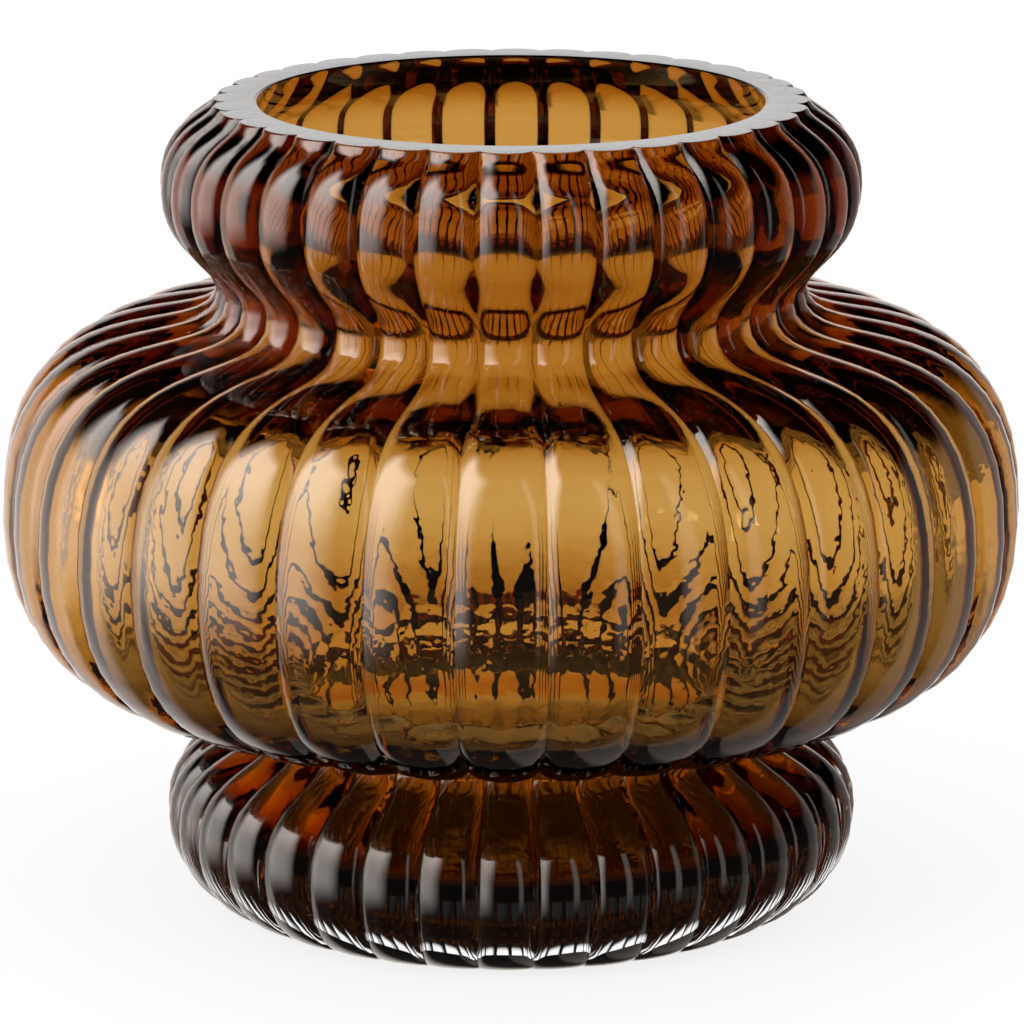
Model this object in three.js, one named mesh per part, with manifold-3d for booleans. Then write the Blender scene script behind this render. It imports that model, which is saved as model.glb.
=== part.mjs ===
// A low, wide vase of cased glass: a clear ribbed casing over an amber lining.
// Millimetres, +Z up. The origin is the centre of the flat base.
import * as THREE from 'three';
import { mergeVertices } from 'three/addons/utils/BufferGeometryUtils.js';
import Module from 'manifold-3d';

// Foot: the lowest bulge, from the flat base up to the waist
const BASE_DIAMETER = 137;
const FOOT_DIAMETER = 178;
const FOOT_HEIGHT = 48;
const FOOT_WIDEST_ABOVE_BASE = 22.5;
const WAIST_DIAMETER = 137;

// Belly: the wide middle bulge, from the waist up to the neck
const BELLY_DIAMETER = 260;
const BELLY_HEIGHT = 111.5;
const BELLY_WIDEST_ABOVE_WAIST = 54.5;
const NECK_DIAMETER = 150;

// Collar: the upper bulge, from the neck up to the ground rim
const COLLAR_DIAMETER = 177.5;
const COLLAR_HEIGHT = 47.5;
const COLLAR_WIDEST_ABOVE_NECK = 26;
const RIM_DIAMETER = 150;
const RIM_LEAN_DEGREES = 28;

// Roundness: how far each curve holds its direction at the end named
const BASE_ROUND = 9;
const FOOT_ROUND_BELOW = 14.5;
const FOOT_ROUND_ABOVE = 19;
const WAIST_ROUND_BELOW = 6.5;
const WAIST_ROUND_ABOVE = 10.5;
const BELLY_ROUND_BELOW = 58.5;
const BELLY_ROUND_ABOVE = 62;
const NECK_ROUND_BELOW = 17.5;
const NECK_ROUND_ABOVE = 7.5;
const COLLAR_ROUND_BELOW = 15.5;
const COLLAR_ROUND_ABOVE = 16;
const RIM_ROUND = 5;

// Ribs: rounded lobes that meet in sharp valleys
const RIB_COUNT = 36;
const FIRST_RIB_DEGREES = -1;
const FOOT_RIB_DEPTH = 3.8;
const WAIST_RIB_DEPTH = 2.8;
const BELLY_RIB_DEPTH = 2.2;
const NECK_RIB_DEPTH = 3.2;
const COLLAR_RIB_DEPTH = 4;
const RIM_RIB_DEPTH = 2.4;
const GENTLE_FALL = 0.6;

// Clear casing: its least wall, under the valleys, and its thick base
const BASE_CASING_WALL = 15.5;
const FOOT_CASING_WALL = 5.2;
const WAIST_CASING_WALL = 1.5;
const BELLY_CASING_WALL = 1.8;
const NECK_CASING_WALL = 1.8;
const COLLAR_CASING_WALL = 1.8;
const RIM_CASING_WALL = 2.2;

// Amber lining, thinnest where the belly was blown widest
const BASE_LINING_WALL = 4.2;
const FOOT_LINING_WALL = 5.7;
const WAIST_LINING_WALL = 3.7;
const BELLY_LINING_WALL = 1.5;
const NECK_LINING_WALL = 3.7;
const COLLAR_LINING_WALL = 4;
const RIM_LINING_WALL = 5.5;
const FUSION_GAP = 0.3;

// Cup: the flat bottom of the hollow, inside the foot
const CUP_WIDEST_ABOVE_FOOT_WIDEST = 3;
const CUP_ROUND_INSIDE = 4;
const CUP_ROUND_BELOW = 5;
const CUP_ROUND_ABOVE = 7;

// Facets
const STEPS_PER_RIB = 4;
const BELLY_STEPS = 8;
const SMALL_BULGE_STEPS = 4;
const LAYER_SEGMENTS = 36;
const CUP_STEPS = 4;
const TURN_SAMPLES = 200;

const waistHeight = FOOT_HEIGHT;
const bellyHeight = waistHeight + BELLY_WIDEST_ABOVE_WAIST;
const neckHeight = waistHeight + BELLY_HEIGHT;
const collarHeight = neckHeight + COLLAR_WIDEST_ABOVE_NECK;
const rimHeight = neckHeight + COLLAR_HEIGHT;

// The blank stands above the rim by one wall, which grinding takes off
const grindingAllowance = RIM_RIB_DEPTH + RIM_CASING_WALL + FUSION_GAP + RIM_LINING_WALL;

const wasm = await Module();
wasm.setup();

// A place on the outline over the rib crests where the curve runs straight up
function station(diameter, height, roundBelow, roundAbove, ...glass) {
  return {
    at: new THREE.Vector2(diameter / 2, height),
    below: new THREE.Vector2(0, -roundBelow),
    above: new THREE.Vector2(0, roundAbove),
    ...layers(...glass),
  };
}

function layers(ribDepth, casingWall, liningWall) {
  return { ribDepth, casingWall, liningWall };
}

const foot = station(
  FOOT_DIAMETER,
  FOOT_WIDEST_ABOVE_BASE,
  FOOT_ROUND_BELOW,
  FOOT_ROUND_ABOVE,
  FOOT_RIB_DEPTH,
  FOOT_CASING_WALL,
  FOOT_LINING_WALL,
);
const waist = station(
  WAIST_DIAMETER,
  waistHeight,
  WAIST_ROUND_BELOW,
  WAIST_ROUND_ABOVE,
  WAIST_RIB_DEPTH,
  WAIST_CASING_WALL,
  WAIST_LINING_WALL,
);
const belly = station(
  BELLY_DIAMETER,
  bellyHeight,
  BELLY_ROUND_BELOW,
  BELLY_ROUND_ABOVE,
  BELLY_RIB_DEPTH,
  BELLY_CASING_WALL,
  BELLY_LINING_WALL,
);
const neck = station(
  NECK_DIAMETER,
  neckHeight,
  NECK_ROUND_BELOW,
  NECK_ROUND_ABOVE,
  NECK_RIB_DEPTH,
  NECK_CASING_WALL,
  NECK_LINING_WALL,
);
const collar = station(
  COLLAR_DIAMETER,
  collarHeight,
  COLLAR_ROUND_BELOW,
  COLLAR_ROUND_ABOVE,
  COLLAR_RIB_DEPTH,
  COLLAR_CASING_WALL,
  COLLAR_LINING_WALL,
);

// The ribs run out at the flat base, and the wall leans in at the rim
const base = {
  at: new THREE.Vector2(BASE_DIAMETER / 2, 0),
  above: new THREE.Vector2(BASE_ROUND, 0),
  ...layers(0, BASE_CASING_WALL, BASE_LINING_WALL),
};
const rimLean = THREE.MathUtils.degToRad(RIM_LEAN_DEGREES);
const rimDirection = new THREE.Vector2(-Math.sin(rimLean), Math.cos(rimLean));
const rim = {
  at: new THREE.Vector2(RIM_DIAMETER / 2, rimHeight),
  below: rimDirection.clone().multiplyScalar(-RIM_ROUND),
  ...layers(RIM_RIB_DEPTH, RIM_CASING_WALL, RIM_LINING_WALL),
};

function outwardNormal(direction) {
  return new THREE.Vector2(direction.y, -direction.x);
}

// Places along a curve between which it turns by equal angles
function evenTurns(curve, steps) {
  const turned = [0];
  for (let sample = 1; sample <= TURN_SAMPLES; sample += 1) {
    const before = curve.getTangent((sample - 1) / TURN_SAMPLES);
    const after = curve.getTangent(sample / TURN_SAMPLES);
    turned.push(turned[sample - 1] + Math.abs(before.cross(after)));
  }
  const places = [];
  for (let step = 0; step < steps; step += 1) {
    const wanted = (turned[TURN_SAMPLES] * step) / steps;
    places.push(turned.findIndex((turn) => turn >= wanted) / TURN_SAMPLES);
  }
  return places;
}

// The glass between two stations, which changes smoothly from the one's to the other's
function layersBetween(lower, upper, along) {
  const share = THREE.MathUtils.smoothstep(along, 0, 1);
  return layers(
    THREE.MathUtils.lerp(lower.ribDepth, upper.ribDepth, share),
    THREE.MathUtils.lerp(lower.casingWall, upper.casingWall, share),
    THREE.MathUtils.lerp(lower.liningWall, upper.liningWall, share),
  );
}

// Rows along the crest outline from one station up to just below the next
function rowsBetween(lower, upper) {
  const steps = lower === belly || upper === belly ? BELLY_STEPS : SMALL_BULGE_STEPS;
  const lowerHold = lower.at.clone().add(lower.above);
  const upperHold = upper.at.clone().add(upper.below);
  const curve = new THREE.CubicBezierCurve(lower.at, lowerHold, upperHold, upper.at);
  return evenTurns(curve, steps).map((along) => ({
    point: curve.getPoint(along),
    normal: outwardNormal(curve.getTangent(along)),
    ...layersBetween(lower, upper, along),
  }));
}

// Rows through several stations and on past the rim, where the blank is still unground
function rowsThrough(stations) {
  const rows = [];
  for (let index = 1; index < stations.length; index += 1) {
    rows.push(...rowsBetween(stations[index - 1], stations[index]));
  }
  const normal = outwardNormal(rimDirection);
  const unground = rim.at.clone().addScaledVector(rimDirection, grindingAllowance / rimDirection.y);
  rows.push({ ...rim, point: rim.at, normal });
  rows.push({ ...rim, point: unground, normal });
  return rows;
}

// The row's point moved into the glass, square to the wall
function setIn(row, depth) {
  return row.point.clone().addScaledVector(row.normal, -depth);
}

// How deep the casing's inside, the lining's outside and the hollow lie under the crests
const casingInside = (glass) => glass.ribDepth + glass.casingWall;
const liningOutside = (glass) => casingInside(glass) + FUSION_GAP;
const hollowWall = (glass) => liningOutside(glass) + glass.liningWall;

// The share of its depth by which a rib has fallen away, gently and then steeply to the valley
function ribFall(angle) {
  const pitches = (angle * RIB_COUNT) / (2 * Math.PI);
  const fromCrest = 2 * Math.abs(pitches - Math.round(pitches));
  return GENTLE_FALL * fromCrest ** 2 + (1 - GENTLE_FALL) * fromCrest ** 8;
}

function solidFromFaces(positions, corners) {
  const vertProperties = new Float32Array(positions);
  const triVerts = new Uint32Array(corners);
  return new wasm.Manifold(new wasm.Mesh({ numProp: 3, vertProperties, triVerts }));
}

// A lathe stood up on +Z, with its seam and poles merged, as a solid
function solidFromLathe(lathe) {
  lathe.deleteAttribute('normal');
  lathe.deleteAttribute('uv');
  lathe.rotateX(Math.PI / 2);
  const merged = mergeVertices(lathe);
  const corners = [];
  const index = merged.getIndex();
  for (let face = 0; face < index.count; face += 3) {
    const [a, b, c] = [index.getX(face), index.getX(face + 1), index.getX(face + 2)];
    if (a !== b && b !== c && c !== a) {
      corners.push(a, b, c);
    }
  }
  return solidFromFaces(merged.getAttribute('position').array, corners);
}

// A round solid from an outline that starts on the axis, closed on the axis at its top
function turnedSolid(outline) {
  const top = new THREE.Vector2(0, outline[outline.length - 1].y);
  const points = [...outline, top];
  return solidFromLathe(new THREE.LatheGeometry(points, LAYER_SEGMENTS));
}

// The blank as it leaves the mould, ribbed outside and solid, with its rim unground
function ribbedBlank() {
  const rows = rowsThrough([base, foot, waist, belly, neck, collar, rim]);
  const bottom = new THREE.Vector2(0, 0);
  const top = new THREE.Vector2(0, rows[rows.length - 1].point.y);
  const points = [bottom, ...rows.map((row) => row.point), top];
  const segments = RIB_COUNT * STEPS_PER_RIB;
  const lathe = new THREE.LatheGeometry(points, segments, THREE.MathUtils.degToRad(FIRST_RIB_DEGREES));
  const position = lathe.getAttribute('position');
  for (let segment = 0; segment <= segments; segment += 1) {
    const fall = ribFall((segment / segments) * 2 * Math.PI);
    rows.forEach((row, index) => {
      const vertex = segment * points.length + index + 1;
      const ribbed = setIn(row, row.ribDepth * fall);
      const shrink = ribbed.x / row.point.x;
      position.setXYZ(vertex, position.getX(vertex) * shrink, ribbed.y, position.getZ(vertex) * shrink);
    });
  }
  return solidFromLathe(lathe);
}

// A smooth layer of the vase, filled: a flat cup in the foot that opens into the belly and collar
function layerSolid(depthOf) {
  const rows = rowsThrough([waist, belly, neck, collar, rim]);
  const wall = rows.map((row) => setIn(row, depthOf(row)));
  const cupRadius = foot.at.x - depthOf(foot);
  const middle = new THREE.Vector2(0, depthOf(base));
  const widest = new THREE.Vector2(cupRadius, foot.at.y + CUP_WIDEST_ABOVE_FOOT_WIDEST);
  const floor = new THREE.CubicBezierCurve(
    middle,
    new THREE.Vector2(cupRadius - CUP_ROUND_INSIDE, middle.y),
    new THREE.Vector2(cupRadius, widest.y - CUP_ROUND_BELOW),
    widest,
  );
  const side = new THREE.CubicBezierCurve(
    widest,
    new THREE.Vector2(cupRadius, widest.y + CUP_ROUND_ABOVE),
    wall[0].clone().add(waist.below),
    wall[0],
  );
  const cup = [...floor.getPoints(CUP_STEPS), ...side.getPoints(CUP_STEPS).slice(1, -1)];
  return turnedSolid([...cup, ...wall]);
}

// Everything from the base plane to the rim plane, which grinding leaves
function groundSpace() {
  const block = new THREE.BoxGeometry(2 * BELLY_DIAMETER, 2 * BELLY_DIAMETER, rimHeight);
  block.deleteAttribute('normal');
  block.deleteAttribute('uv');
  block.translate(0, 0, rimHeight / 2);
  const merged = mergeVertices(block);
  return solidFromFaces(merged.getAttribute('position').array, merged.getIndex().array);
}

function meshFrom(name, solid, material) {
  const { vertProperties, triVerts } = solid.getMesh();
  const geometry = new THREE.BufferGeometry();
  geometry.setAttribute('position', new THREE.BufferAttribute(vertProperties, 3));
  geometry.setIndex(new THREE.BufferAttribute(triVerts, 1));
  geometry.computeVertexNormals();
  const mesh = new THREE.Mesh(geometry, material);
  mesh.name = name;
  return mesh;
}

const clearGlass = new THREE.MeshStandardMaterial({ color: 0xdfe4e2, roughness: 0.03, metalness: 0 });
const amberGlass = new THREE.MeshStandardMaterial({ color: 0xa8651f, roughness: 0.03, metalness: 0 });

const ground = groundSpace();
const casing = ribbedBlank().intersect(ground).subtract(layerSolid(casingInside));
const lining = layerSolid(liningOutside).intersect(ground).subtract(layerSolid(hollowWall));

const vase = new THREE.Group();
vase.name = 'vase';
vase.add(meshFrom('clear_casing', casing, clearGlass));
vase.add(meshFrom('amber_lining', lining, amberGlass));

export default vase;
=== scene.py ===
import math
from typing import NamedTuple

import bpy
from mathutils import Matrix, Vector


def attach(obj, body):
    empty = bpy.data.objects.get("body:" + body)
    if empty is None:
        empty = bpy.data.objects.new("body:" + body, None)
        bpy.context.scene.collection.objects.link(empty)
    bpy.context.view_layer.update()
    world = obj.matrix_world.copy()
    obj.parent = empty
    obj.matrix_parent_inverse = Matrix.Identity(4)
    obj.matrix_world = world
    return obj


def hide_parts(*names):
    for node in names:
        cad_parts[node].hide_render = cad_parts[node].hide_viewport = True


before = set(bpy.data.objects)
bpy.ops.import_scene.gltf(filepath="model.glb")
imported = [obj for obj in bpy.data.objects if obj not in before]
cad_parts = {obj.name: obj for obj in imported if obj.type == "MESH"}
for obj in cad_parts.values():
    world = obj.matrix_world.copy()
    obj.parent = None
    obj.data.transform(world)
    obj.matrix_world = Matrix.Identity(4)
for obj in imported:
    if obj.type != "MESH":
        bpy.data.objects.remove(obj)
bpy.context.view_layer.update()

MM = 0.001


class Station(NamedTuple):
    """A place on the outline over the rib crests, with the curve's holds below and above it."""

    at: Vector
    below: Vector
    above: Vector
    rib_depth: float
    lobe_depth: float
    casing: float
    lining: float


class Row(NamedTuple):
    """A ring of the outline: its radius and height, the way out of the glass, and the glass at it."""

    at: Vector
    out: Vector
    rib_depth: float
    lobe_depth: float
    casing: float
    lining: float


class Step(NamedTuple):
    """A smooth step: where it starts and ends, and the level before and after it."""

    start: float
    end: float
    before: float
    after: float


# Ribs: rounded lobes that meet in sharp valleys, the first one turned a little from the front
RIB_COUNT = 36
FIRST_RIB = math.radians(-1)
DEEPEST_RIB = 4 * MM
GENTLE_FALL = 0.6

# Lobes of the hollow behind the ribs, which meet in rounded ridges
DEEPEST_LOBE = 2 * MM
LOBE_RIDGE_FROM = 0.8

# Ground rim: its lean, the glass that grinding takes off, its polished edges and a radius between them
RIM_LEAN = math.radians(28)
GRINDING_ALLOWANCE = 12 * MM
OUTER_ARRIS = 0.4 * MM
INNER_ARRIS = 1.2 * MM
RIM_MIDDLE = 69 * MM

# Cup at the bottom of the hollow, in the foot, and the amber glass beside and under it
CUP_FLOOR = 20 * MM
CUP_FLATNESS = 70 * MM
HEEL_RADIUS = 74 * MM
HEEL_HEIGHT = 25.5 * MM
HEEL_ROUND_BELOW = 5 * MM
HEEL_ROUND_ABOVE = 7 * MM
AMBER_BESIDE_CUP = 6 * MM
AMBER_UNDER_CUP = 4.5 * MM

# The amber glass ends just short of the hollow's surface
SKIN_OVER_AMBER = 0.3 * MM

# Fineness of the meshes
COLUMNS_PER_RIB = 16
AMBER_COLUMNS = 144
BELLY_STEPS = 16
SMALL_BULGE_STEPS = 10
CUP_STEPS = 12
ARRIS_STEPS = 2
CLEAR_CREASE = math.radians(28)
AMBER_CREASE = math.radians(40)
SAME_PLACE = 0.01 * MM
RIM_FACE_DEPTH = 0.05 * MM

# Glass: the amber's colour by depth, the hollow's ripples, which weaken over their reach above
# the upper belly, and the grain of the ground rim
GLASS_IOR = 1.5
AMBER_COLOUR = (0.8, 0.59, 0.1, 1)
AMBER_DENSITY = 835
RIPPLES_PER_METRE = 160
RIPPLE_DETAIL = 2
RIPPLE_HEIGHT = 0.15 * MM
RIPPLE_REACH = 25 * MM
LEAST_RIPPLE = 0.25
GRAINS_PER_METRE = 900
GRAIN_DETAIL = 3
GRAIN_DARKER_UNDER = 0.35
GRAIN_LIGHTER_OVER = 0.65
DARKER_GREY = (0.38, 0.38, 0.38, 1)
LIGHTER_GREY = (0.46, 0.46, 0.46, 1)
GROUND_ROUGHNESS = 0.35
GROUND_SHINE = 0.1

# Floor: white paper, and for rays through the glass a painted shadow round about the vase and painted
# light on the floor behind it
FLOOR_SIZE = 8
FLOOR_CLEARANCE = 0.2 * MM
PAPER_COLOUR = (0.95, 0.95, 0.95, 1)
PAPER_GLOW = 1.04
GLOW_SHARE = 0.8
FLOOR_TURN = math.radians(15)
FLOOR_PAINTED_SHADOW = Step(0.05, 0.2, 0.06, 0.45)
FLOOR_PAINTED_LIGHT_BEHIND = Step(0.01, 0.14, 0, 1.15)

# Studio seen through the glass: a bright backdrop, brighter at its left end, and a dim wall on the right
BACKDROP_TURN = math.radians(30)
BACKDROP = Step(0.52, 0.74, 0.06, 1.15)
BACKDROP_LEFT_END = Step(-0.95, -0.8, 1.7, 1)
BACKDROP_TOP = Step(0.2, 0.42, 1, 0.01)
RIGHT_WALL = Step(0.15, 0.4, 0, 0.4)
RIGHT_WALL_FRONT = Step(0, 0.3, 0, 1)

# Studio mirrored on the glass: a broad light on the left, brighter above, and a narrow one on the right
LEFT_LIGHT = Step(-0.9, -0.4, 4.5, 0)
LEFT_LIGHT_BACK = Step(0.2, 0.6, 1, 0)
LEFT_LIGHT_RISE = Step(0.2, 0.75, 1, 1.9)
RIGHT_LIGHT_NEAR_EDGE = Step(0.5, 0.62, 0, 1.5)
RIGHT_LIGHT_FAR_EDGE = Step(0.7, 0.8, 1, 0)
RIGHT_LIGHT_BACK = Step(-0.2, 0, 1, 0)
LIGHTS_BOTTOM = Step(-0.55, -0.05, 0, 1)
LIGHTS_TOP = Step(0.88, 0.96, 1, 0)
MIRRORED_TINT = (1, 0.92, 0.86, 1)

# Soft boxes for the ground rim and the floor
LAMP_AIM = Vector((0, 0, 0.1))
LAMP_SPREAD = math.radians(40)

# Camera
CAMERA_PLACE = (0.00025, -1.43, 0.4622)
CAMERA_DOWN_DEGREES = 14.23
CAMERA_SENSOR = 36
CAMERA_LENS = 202.3


def upright(radius, height, round_below, round_above, rib_depth, lobe_depth, casing, lining):
    """A station where the outline runs straight up, from sizes in millimetres."""
    return Station(
        at=Vector((radius, height)) * MM,
        below=Vector((0, -round_below)) * MM,
        above=Vector((0, round_above)) * MM,
        rib_depth=rib_depth * MM,
        lobe_depth=lobe_depth * MM,
        casing=casing * MM,
        lining=lining * MM,
    )


rim_direction = Vector((-math.sin(RIM_LEAN), math.cos(RIM_LEAN)))
rim_out = Vector((math.cos(RIM_LEAN), math.sin(RIM_LEAN)))

base = Station(
    at=Vector((68.5, 0)) * MM,
    below=Vector((0, 0)),
    above=Vector((9, 0)) * MM,
    rib_depth=0,
    lobe_depth=0,
    casing=0,
    lining=0,
)
foot = upright(
    radius=89,
    height=22.5,
    round_below=14.5,
    round_above=19,
    rib_depth=3.8,
    lobe_depth=0,
    casing=0,
    lining=0,
)
waist = upright(
    radius=68.5,
    height=48,
    round_below=6.5,
    round_above=10.5,
    rib_depth=2.8,
    lobe_depth=0.8,
    casing=1.5,
    lining=4,
)
belly = upright(
    radius=130,
    height=102.5,
    round_below=58.5,
    round_above=62,
    rib_depth=2.2,
    lobe_depth=2,
    casing=1.8,
    lining=1.8,
)
neck = upright(
    radius=75,
    height=159.5,
    round_below=17.5,
    round_above=7.5,
    rib_depth=3.2,
    lobe_depth=0.4,
    casing=1.8,
    lining=4,
)
collar = upright(
    radius=88.75,
    height=185.5,
    round_below=15.5,
    round_above=16,
    rib_depth=4,
    lobe_depth=0,
    casing=1.8,
    lining=4.3,
)
rim = Station(
    at=Vector((75, 207)) * MM,
    below=rim_direction * -5 * MM,
    above=Vector((0, 0)),
    rib_depth=2.4 * MM,
    lobe_depth=0,
    casing=2.2 * MM,
    lining=5.8 * MM,
)

wall_stations = [waist, belly, neck, collar, rim]
outside_stations = [base, foot] + wall_stations


def curve_rows(start, start_hold, end_hold, end, steps):
    """Points and directions along one curve, from its start to just short of its end."""
    for step in range(steps):
        t = step / steps
        s = 1 - t
        point = s**3 * start + 3 * s**2 * t * start_hold + 3 * s * t**2 * end_hold + t**3 * end
        leaving = s**2 * (start_hold - start)
        crossing = 2 * s * t * (end_hold - start_hold)
        arriving = t**2 * (end - end_hold)
        yield t, point, (leaving + crossing + arriving).normalized()


def curve_outline(start, start_hold, end_hold, end):
    """The points of one curve of the cup, from its start to just short of its end."""
    return [point for t, point, direction in curve_rows(start, start_hold, end_hold, end, CUP_STEPS)]


def between(lower, upper, share):
    """A size that goes smoothly from one station's to the next one's."""
    return lower + (upper - lower) * share**2 * (3 - 2 * share)


def crest_rows(stations):
    """Rows over the rib crests through the stations and on past the rim, where the glass is unground."""
    rows = []
    for lower, upper in zip(stations, stations[1:]):
        steps = BELLY_STEPS if belly in (lower, upper) else SMALL_BULGE_STEPS
        for t, point, direction in curve_rows(
            lower.at, lower.at + lower.above, upper.at + upper.below, upper.at, steps
        ):
            rows.append(
                Row(
                    point,
                    Vector((direction.y, -direction.x)),
                    between(lower.rib_depth, upper.rib_depth, t),
                    between(lower.lobe_depth, upper.lobe_depth, t),
                    between(lower.casing, upper.casing, t),
                    between(lower.lining, upper.lining, t),
                )
            )
    unground = rim.at + rim_direction * GRINDING_ALLOWANCE
    rows.append(Row(unground, rim_out, rim.rib_depth, rim.lobe_depth, rim.casing, rim.lining))
    return rows


def layer_outline(depth_of):
    """A smooth layer's outline from the waist up, at a depth under the rib crests."""
    return [row.at - row.out * depth_of(row) for row in crest_rows(wall_stations)]


def amber_depth(row):
    """How deep the amber glass starts, under the rib crests."""
    return row.rib_depth + row.casing


def hollow_depth(row):
    """How deep the hollow starts."""
    return amber_depth(row) + row.lining


def amber_end_depth(row):
    """How deep the amber glass ends."""
    return hollow_depth(row) - SKIN_OVER_AMBER


def cup_outline(wall, beside, under):
    """The cup's outline, from the axis out and up to the wall, with some glass beside and under it."""
    middle = Vector((0, CUP_FLOOR - under))
    middle_hold = Vector((CUP_FLATNESS + beside, CUP_FLOOR - under))
    heel = Vector((HEEL_RADIUS + beside, HEEL_HEIGHT))
    heel_below = heel - Vector((0, HEEL_ROUND_BELOW))
    heel_above = heel + Vector((0, HEEL_ROUND_ABOVE))
    bottom = curve_outline(middle, middle_hold, heel_below, heel)
    side = curve_outline(heel, heel_above, wall[0] + waist.below, wall[0])
    return bottom + side


def over_first_rib(point):
    """A point of an outline, stood up over the first rib's crest."""
    return Vector((point.x * math.sin(FIRST_RIB), -point.x * math.cos(FIRST_RIB), point.y))


def turned(name, outline, columns):
    """An outline drawn as a line of edges and spun once round the axis."""
    # A small circle, merged to its centre, is the outline's first point.
    bpy.ops.object.select_all(action="DESELECT")
    bpy.ops.mesh.primitive_circle_add(vertices=3, radius=MM, enter_editmode=True)
    bpy.ops.mesh.select_mode(type="VERT")
    bpy.ops.mesh.select_all(action="SELECT")
    bpy.ops.mesh.merge(type="CENTER")
    places = [over_first_rib(point) for point in outline]
    bpy.ops.transform.translate(value=places[0])
    for here, there in zip(places, places[1:]):
        bpy.ops.mesh.extrude_vertices_move(TRANSFORM_OT_translate={"value": there - here})
    bpy.ops.object.mode_set(mode="OBJECT")
    bpy.ops.object.modifier_add(type="SCREW")
    turn = bpy.context.object.modifiers[-1]
    turn.steps = columns
    turn.render_steps = columns
    turn.use_merge_vertices = True
    turn.merge_threshold = SAME_PLACE
    bpy.ops.object.modifier_apply(modifier=turn.name)
    bpy.ops.object.mode_set(mode="EDIT")
    bpy.ops.mesh.select_all(action="SELECT")
    bpy.ops.mesh.remove_doubles(threshold=SAME_PLACE)
    bpy.ops.mesh.normals_make_consistent(inside=False)
    bpy.ops.object.mode_set(mode="OBJECT")
    surface = bpy.context.object
    surface.name = name
    return surface


def from_crest(x, y):
    """How far round a place is from the nearest crest, as a share: 1 in the valley."""
    pitches = (math.atan2(x, -y) - FIRST_RIB) * RIB_COUNT / math.tau
    return 2 * abs(pitches - round(pitches))


def rib_fall(share):
    """The share of its depth by which a rib has fallen away: gently, then steeply to the valley."""
    return GENTLE_FALL * share**2 + (1 - GENTLE_FALL) * share**8


def lobe_fall(share):
    """The same for the lobes of the hollow, which meet in rounded ridges behind the valleys."""
    if share < LOBE_RIDGE_FROM:
        return share**2
    return LOBE_RIDGE_FROM - LOBE_RIDGE_FROM / (1 - LOBE_RIDGE_FROM) * (1 - share) ** 2


def size_at(heights, sizes, height):
    """A size at a height, along straight lines between the sizes of an outline's rows."""
    for lower in range(len(heights) - 1):
        if height <= heights[lower + 1]:
            share = max(0, (height - heights[lower]) / (heights[lower + 1] - heights[lower]))
            return sizes[lower] + share * (sizes[lower + 1] - sizes[lower])
    return sizes[-1]


def press_in(surface, heights, depths, fall, deepest):
    """Presses ribs or lobes into a turned surface, by shares of the deepest at its rows' heights."""
    group = surface.vertex_groups.new(name="share")
    for vertex in surface.data.vertices:
        x, y, z = vertex.co
        group.add([vertex.index], size_at(heights, depths, z) * fall(from_crest(x, y)), "REPLACE")
    bpy.ops.object.modifier_add(type="DISPLACE")
    modifier = surface.modifiers[-1]
    modifier.strength = -deepest
    modifier.vertex_group = group.name
    modifier.mid_level = 0
    bpy.ops.object.modifier_apply(modifier=modifier.name)
    surface.vertex_groups.clear()


def ground_off(surface, height):
    """Cuts a surface off level at a height, and leaves the cut edges selected in edit mode."""
    bpy.ops.object.select_all(action="DESELECT")
    surface.select_set(True)
    bpy.context.view_layer.objects.active = surface
    bpy.ops.object.mode_set(mode="EDIT")
    bpy.ops.mesh.select_mode(type="EDGE")
    bpy.ops.mesh.select_all(action="SELECT")
    bpy.ops.mesh.bisect(plane_co=(0, 0, height), plane_no=(0, 0, 1), clear_outer=True)


def closed_at_rim(outside, inside, height):
    """Joins an outer and an inner surface by a flat rim at a height."""
    ground_off(inside, height)
    # The inner edge is lowered until both are joined, because rings of one height can pair crosswise.
    bpy.ops.transform.translate(value=(0, 0, -MM))
    bpy.ops.object.mode_set(mode="OBJECT")
    ground_off(outside, height)
    bpy.ops.object.mode_set(mode="OBJECT")
    inside.select_set(True)
    bpy.ops.object.join()
    bpy.ops.object.mode_set(mode="EDIT")
    bpy.ops.mesh.select_all(action="DESELECT")
    bpy.ops.mesh.select_non_manifold(
        use_wire=False, use_multi_face=False, use_non_contiguous=False, use_verts=False
    )
    bpy.ops.mesh.bridge_edge_loops()
    bpy.ops.transform.resize(value=(1, 1, 0), center_override=(0, 0, height))
    bpy.ops.mesh.select_all(action="SELECT")
    bpy.ops.mesh.normals_make_consistent(inside=False)
    bpy.ops.object.mode_set(mode="OBJECT")
    return outside


def polish_arris(piece, outer, width):
    """Takes the sharp outer or inner edge off the ground rim."""
    bpy.ops.object.mode_set(mode="EDIT")
    bpy.ops.mesh.select_mode(type="EDGE")
    bpy.ops.mesh.select_all(action="DESELECT")
    bpy.ops.object.mode_set(mode="OBJECT")
    mesh = piece.data
    for edge in mesh.edges:
        ends = [mesh.vertices[index].co for index in edge.vertices]
        on_rim = all(abs(end.z - rim.at.y) < SAME_PLACE for end in ends)
        edge.select = on_rim and all((math.hypot(end.x, end.y) > RIM_MIDDLE) == outer for end in ends)
    bpy.ops.object.mode_set(mode="EDIT")
    bpy.ops.mesh.bevel(offset=width, segments=ARRIS_STEPS, affect="EDGES")
    bpy.ops.object.mode_set(mode="OBJECT")


def smooth(piece, crease):
    """Shades a piece smooth, apart from edges sharper than a crease."""
    bpy.ops.object.select_all(action="DESELECT")
    piece.select_set(True)
    bpy.context.view_layer.objects.active = piece
    bpy.ops.object.shade_smooth_by_angle(angle=crease)


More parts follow.
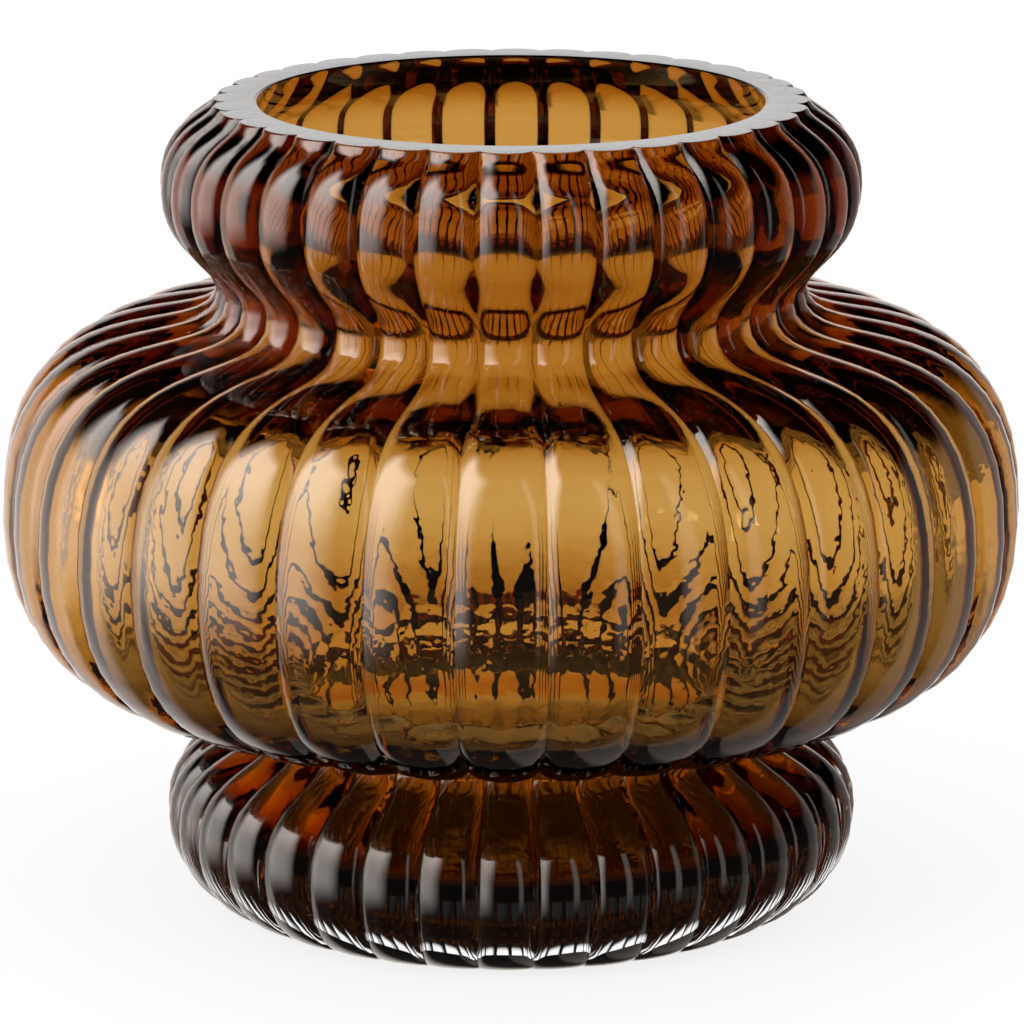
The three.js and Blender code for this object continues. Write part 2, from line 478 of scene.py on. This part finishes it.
def make_ribbed_outside():
    rows = crest_rows(outside_stations)
    outline = [Vector((0, 0))] + [row.at for row in rows]
    outside = turned("clear_glass", outline, RIB_COUNT * COLUMNS_PER_RIB)
    heights = [row.at.y for row in rows]
    depths = [row.rib_depth / DEEPEST_RIB for row in rows]
    press_in(outside, heights, depths, rib_fall, DEEPEST_RIB)
    return outside


def make_lobed_hollow():
    wall = layer_outline(hollow_depth)
    hollow = turned("hollow", cup_outline(wall, 0, 0) + wall, RIB_COUNT * COLUMNS_PER_RIB)
    heights = [CUP_FLOOR] + [point.y for point in wall]
    depths = [0] + [row.lobe_depth / DEEPEST_LOBE for row in crest_rows(wall_stations)]
    press_in(hollow, heights, depths, lobe_fall, DEEPEST_LOBE)
    return hollow


def mark_ripples(surface, most):
    """Marks how strongly a surface is rippled: less and less above the upper belly."""
    upper_belly = belly.at.y + RIPPLE_REACH
    ripple = surface.data.attributes.new("ripple", "FLOAT", "POINT")
    for mark, vertex in zip(ripple.data, surface.data.vertices):
        left = 1 - (vertex.co.z - upper_belly) / RIPPLE_REACH
        mark.value = most * min(1, max(LEAST_RIPPLE, left))


def make_clear_glass():
    """The whole glass body's surface: ribbed outside, ground rim and lobed, rippled hollow."""
    outside = make_ribbed_outside()
    hollow = make_lobed_hollow()
    mark_ripples(outside, 0)
    mark_ripples(hollow, 1)
    piece = closed_at_rim(outside, hollow, rim.at.y)
    polish_arris(piece, True, OUTER_ARRIS)
    polish_arris(piece, False, INNER_ARRIS)
    smooth(piece, CLEAR_CREASE)
    piece.data.materials.append(clear_glass())
    piece.data.materials.append(ground_glass())
    for face in piece.data.polygons:
        if face.center.z > rim.at.y - RIM_FACE_DEPTH:
            face.material_index = 1
    return piece


def make_amber_glass():
    """The coloured glass inside the clear body: a lining that is thinnest at the belly."""
    layer = layer_outline(amber_depth)
    layer_cup = cup_outline(layer, AMBER_BESIDE_CUP, AMBER_UNDER_CUP)
    outside = turned("amber_glass", layer_cup + layer, AMBER_COLUMNS)
    wall = layer_outline(amber_end_depth)
    wall_cup = cup_outline(wall, SKIN_OVER_AMBER, SKIN_OVER_AMBER)
    inside = turned("amber_hollow", wall_cup + wall, AMBER_COLUMNS)
    piece = closed_at_rim(outside, inside, rim.at.y - SKIN_OVER_AMBER)
    smooth(piece, AMBER_CREASE)
    piece.data.materials.append(amber_glass())
    return piece


def new_material(name):
    material = bpy.data.materials.new(name)
    material.use_nodes = True
    return material


def unevenness_group():
    """A node group for what is uneven in the glass: noise that keeps its place on the piece."""
    group = bpy.data.node_groups.new("unevenness", "ShaderNodeTree")
    group.interface.new_socket("Scale", in_out="INPUT", socket_type="NodeSocketFloat")
    group.interface.new_socket("Detail", in_out="INPUT", socket_type="NodeSocketFloat")
    group.interface.new_socket("Height", in_out="OUTPUT", socket_type="NodeSocketFloat")
    given = group.nodes.new("NodeGroupInput")
    coordinates = group.nodes.new("ShaderNodeTexCoord")
    noise = group.nodes.new("ShaderNodeTexNoise")
    result = group.nodes.new("NodeGroupOutput")
    group.links.new(coordinates.outputs["Object"], noise.inputs["Vector"])
    group.links.new(given.outputs["Scale"], noise.inputs["Scale"])
    group.links.new(given.outputs["Detail"], noise.inputs["Detail"])
    group.links.new(noise.outputs["Fac"], result.inputs["Height"])
    return group


def uneven(tree, scale, detail):
    """The unevenness group placed in a material with its own values, as a node's output."""
    node = tree.nodes.new("ShaderNodeGroup")
    node.node_tree = unevenness
    node.inputs["Scale"].default_value = scale
    node.inputs["Detail"].default_value = detail
    return node.outputs["Height"]


def clear_glass():
    """Clear glass, with ripples where the surface is marked for them."""
    material = new_material("clear glass")
    tree = material.node_tree
    shader = tree.nodes["Principled BSDF"]
    shader.inputs["Base Color"].default_value = (1, 1, 1, 1)
    shader.inputs["Roughness"].default_value = 0
    shader.inputs["IOR"].default_value = GLASS_IOR
    shader.inputs["Transmission Weight"].default_value = 1
    ripples = uneven(tree, RIPPLES_PER_METRE, RIPPLE_DETAIL)
    strength = tree.nodes.new("ShaderNodeAttribute")
    strength.attribute_name = "ripple"
    bump = tree.nodes.new("ShaderNodeBump")
    bump.inputs["Distance"].default_value = RIPPLE_HEIGHT
    tree.links.new(strength.outputs["Fac"], bump.inputs["Strength"])
    tree.links.new(ripples, bump.inputs["Height"])
    tree.links.new(bump.outputs["Normal"], shader.inputs["Normal"])
    return material


def ground_glass():
    """Matt grey glass with the fine grain of the grinding."""
    material = new_material("ground glass")
    tree = material.node_tree
    shader = tree.nodes["Principled BSDF"]
    shader.inputs["Roughness"].default_value = GROUND_ROUGHNESS
    shader.inputs["Specular IOR Level"].default_value = GROUND_SHINE
    shader.inputs["IOR"].default_value = GLASS_IOR
    greys = tree.nodes.new("ShaderNodeValToRGB")
    darker, lighter = greys.color_ramp.elements
    darker.position = GRAIN_DARKER_UNDER
    darker.color = DARKER_GREY
    lighter.position = GRAIN_LIGHTER_OVER
    lighter.color = LIGHTER_GREY
    grain = uneven(tree, GRAINS_PER_METRE, GRAIN_DETAIL)
    tree.links.new(grain, greys.inputs["Fac"])
    tree.links.new(greys.outputs["Color"], shader.inputs["Base Color"])
    return material


def amber_glass():
    """Only the depth of the colour shows: the clear body has all the surface."""
    material = new_material("amber glass")
    nodes, links = material.node_tree.nodes, material.node_tree.links
    nodes.remove(nodes["Principled BSDF"])
    surface = nodes.new("ShaderNodeBsdfTransparent")
    depth = nodes.new("ShaderNodeVolumeAbsorption")
    depth.inputs["Color"].default_value = AMBER_COLOUR
    depth.inputs["Density"].default_value = AMBER_DENSITY
    output = nodes["Material Output"]
    links.new(surface.outputs["BSDF"], output.inputs["Surface"])
    links.new(depth.outputs["Volume"], output.inputs["Volume"])
    return material


def soft_step(tree, value, step):
    """A value's level on a smooth step, as a node's output."""
    node = tree.nodes.new("ShaderNodeMapRange")
    node.interpolation_type = "SMOOTHSTEP"
    node.inputs["From Min"].default_value = step.start
    node.inputs["From Max"].default_value = step.end
    node.inputs["To Min"].default_value = step.before
    node.inputs["To Max"].default_value = step.after
    tree.links.new(value, node.inputs["Value"])
    return node.outputs["Result"]


def combined(tree, operation, first, second):
    """Two values through a maths node."""
    maths = tree.nodes.new("ShaderNodeMath")
    maths.operation = operation
    for value, socket in ((first, maths.inputs[0]), (second, maths.inputs[1])):
        if isinstance(value, bpy.types.NodeSocket):
            tree.links.new(value, socket)
        else:
            socket.default_value = value
    return maths.outputs[0]


def product(tree, value, *others):
    """Two or more values multiplied."""
    for other in others:
        value = combined(tree, "MULTIPLY", value, other)
    return value


def greater(tree, first, second):
    """The greater of two values."""
    return combined(tree, "MAXIMUM", first, second)


def toward_back(tree, vector, turn):
    """How far a place or a direction points to the back, turned a little to the left."""
    dot = tree.nodes.new("ShaderNodeVectorMath")
    dot.operation = "DOT_PRODUCT"
    dot.inputs[1].default_value = (-math.sin(turn), math.cos(turn), 0)
    tree.links.new(vector, dot.inputs[0])
    return dot.outputs["Value"]


def floor_paper():
    """White paper with the vase's shadow, softened for the camera, and painted light and shadow by place
    for the glass.
    """
    material = new_material("floor paper")
    tree = material.node_tree
    nodes, links = tree.nodes, tree.links
    nodes.remove(nodes["Principled BSDF"])
    paper = nodes.new("ShaderNodeBsdfDiffuse")
    paper.inputs["Color"].default_value = PAPER_COLOUR
    glow = nodes.new("ShaderNodeEmission")
    glow.inputs["Strength"].default_value = PAPER_GLOW
    seen_softly = nodes.new("ShaderNodeMixShader")
    seen_softly.inputs["Fac"].default_value = GLOW_SHARE
    links.new(paper.outputs["BSDF"], seen_softly.inputs[1])
    links.new(glow.outputs["Emission"], seen_softly.inputs[2])

    # Painted shadow: rays through the glass see the floor dark round the vase, and painted light makes
    # it bright behind the vase.
    spot = nodes.new("ShaderNodeTexCoord").outputs["Object"]
    from_axis = nodes.new("ShaderNodeVectorMath")
    from_axis.operation = "LENGTH"
    links.new(spot, from_axis.inputs[0])
    painted_shadow_round_about = soft_step(tree, from_axis.outputs["Value"], FLOOR_PAINTED_SHADOW)
    behind = soft_step(tree, toward_back(tree, spot, FLOOR_TURN), FLOOR_PAINTED_LIGHT_BEHIND)
    # The painted floor glow takes the greater of the painted shadow round the vase and the painted light
    # behind it.
    painted_floor_light = nodes.new("ShaderNodeEmission")
    links.new(greater(tree, painted_shadow_round_about, behind), painted_floor_light.inputs["Strength"])

    rays = nodes.new("ShaderNodeLightPath")
    through_glass = nodes.new("ShaderNodeMixShader")
    links.new(rays.outputs["Is Transmission Ray"], through_glass.inputs["Fac"])
    links.new(seen_softly.outputs["Shader"], through_glass.inputs[1])
    links.new(painted_floor_light.outputs["Emission"], through_glass.inputs[2])
    links.new(through_glass.outputs["Shader"], nodes["Material Output"].inputs["Surface"])
    return material


def make_floor():
    bpy.ops.object.select_all(action="DESELECT")
    bpy.ops.mesh.primitive_plane_add(size=FLOOR_SIZE, location=(0, 0, -FLOOR_CLEARANCE))
    floor = bpy.context.object
    floor.name = "floor"
    floor.data.materials.append(floor_paper())
    floor.visible_glossy = False


def make_world():
    """The studio round the vase: its light through and on the glass, and an even white for the rest."""
    world = bpy.data.worlds.new("studio")
    bpy.context.scene.world = world
    world.use_nodes = True
    tree = world.node_tree
    nodes, links = tree.nodes, tree.links
    direction = nodes.new("ShaderNodeTexCoord").outputs["Generated"]
    split = nodes.new("ShaderNodeSeparateXYZ")
    links.new(direction, split.inputs["Vector"])
    right, back, up = split.outputs
    # A little over 1 keeps the divisions finite straight up and down.
    level = combined(tree, "SQRT", combined(tree, "SUBTRACT", 1.001, product(tree, up, up)), 0)
    beside = combined(tree, "DIVIDE", right, level)
    behind = combined(tree, "DIVIDE", back, level)

    backdrop = product(
        tree,
        soft_step(tree, toward_back(tree, direction, BACKDROP_TURN), BACKDROP),
        soft_step(tree, beside, BACKDROP_LEFT_END),
    )
    right_wall = product(
        tree,
        soft_step(tree, beside, RIGHT_WALL),
        soft_step(tree, behind, RIGHT_WALL_FRONT),
    )
    walls = product(tree, greater(tree, backdrop, right_wall), soft_step(tree, up, BACKDROP_TOP))

    left_light = product(
        tree,
        soft_step(tree, beside, LEFT_LIGHT),
        soft_step(tree, behind, LEFT_LIGHT_BACK),
        soft_step(tree, up, LEFT_LIGHT_RISE),
    )
    right_light = product(
        tree,
        soft_step(tree, beside, RIGHT_LIGHT_NEAR_EDGE),
        soft_step(tree, beside, RIGHT_LIGHT_FAR_EDGE),
        soft_step(tree, behind, RIGHT_LIGHT_BACK),
    )
    lights = product(
        tree,
        combined(tree, "ADD", left_light, right_light),
        soft_step(tree, up, LIGHTS_BOTTOM),
        soft_step(tree, up, LIGHTS_TOP),
    )

    rays = nodes.new("ShaderNodeLightPath")
    is_mirrored = product(tree, rays.outputs["Is Reflection Ray"], rays.outputs["Is Glossy Ray"])
    is_plain = greater(tree, rays.outputs["Is Camera Ray"], rays.outputs["Is Diffuse Ray"])
    seen_in_glass = greater(tree, walls, product(tree, lights, is_mirrored))
    background = nodes["Background"]
    links.new(greater(tree, seen_in_glass, is_plain), background.inputs["Strength"])
    tint = nodes.new("ShaderNodeMix")
    tint.data_type = "RGBA"
    tint.inputs["A"].default_value = (1, 1, 1, 1)
    tint.inputs["B"].default_value = MIRRORED_TINT
    links.new(is_mirrored, tint.inputs["Factor"])
    links.new(tint.outputs["Result"], background.inputs["Color"])


def make_lamp(name, location, width, height, power):
    """A soft box that faces the vase."""
    aim = (LAMP_AIM - Vector(location)).to_track_quat("-Z", "Y")
    bpy.ops.object.light_add(type="AREA", location=location, rotation=aim.to_euler())
    lamp = bpy.context.object
    lamp.name = name
    lamp.data.shape = "RECTANGLE"
    lamp.data.size = width
    lamp.data.size_y = height
    lamp.data.energy = power
    lamp.data.spread = LAMP_SPREAD
    lamp.visible_camera = False
    lamp.visible_glossy = False
    lamp.visible_transmission = False


def make_camera():
    tilt = math.radians(90 - CAMERA_DOWN_DEGREES)
    bpy.ops.object.camera_add(location=CAMERA_PLACE, rotation=(tilt, 0, 0))
    camera = bpy.context.object
    camera.data.sensor_width = CAMERA_SENSOR
    camera.data.lens = CAMERA_LENS
    bpy.context.scene.camera = camera


unevenness = unevenness_group()
clear_piece = make_clear_glass()
amber_piece = make_amber_glass()
for piece, node, slot in (
    (clear_piece, "clear_casing", "clear_glass"),
    (amber_piece, "amber_lining", "amber_glass"),
):
    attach(piece, "root")
    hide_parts(node)

make_floor()
make_world()
make_lamp("left soft box", location=(-0.9, -0.75, 0.55), width=0.5, height=0.9, power=0.6)
make_lamp("right soft box", location=(1.0, -0.8, 0.5), width=0.2, height=0.8, power=0.15)
make_camera()

scene = bpy.context.scene
scene.view_settings.view_transform = "Standard"
scene.cycles.max_bounces = 40
scene.cycles.transmission_bounces = 40
scene.cycles.glossy_bounces = 24
scene.cycles.transparent_max_bounces = 80
scene.cycles.diffuse_bounces = 2
scene.cycles.caustics_reflective = False
scene.cycles.caustics_refractive = False
scene.cycles.use_denoising = True
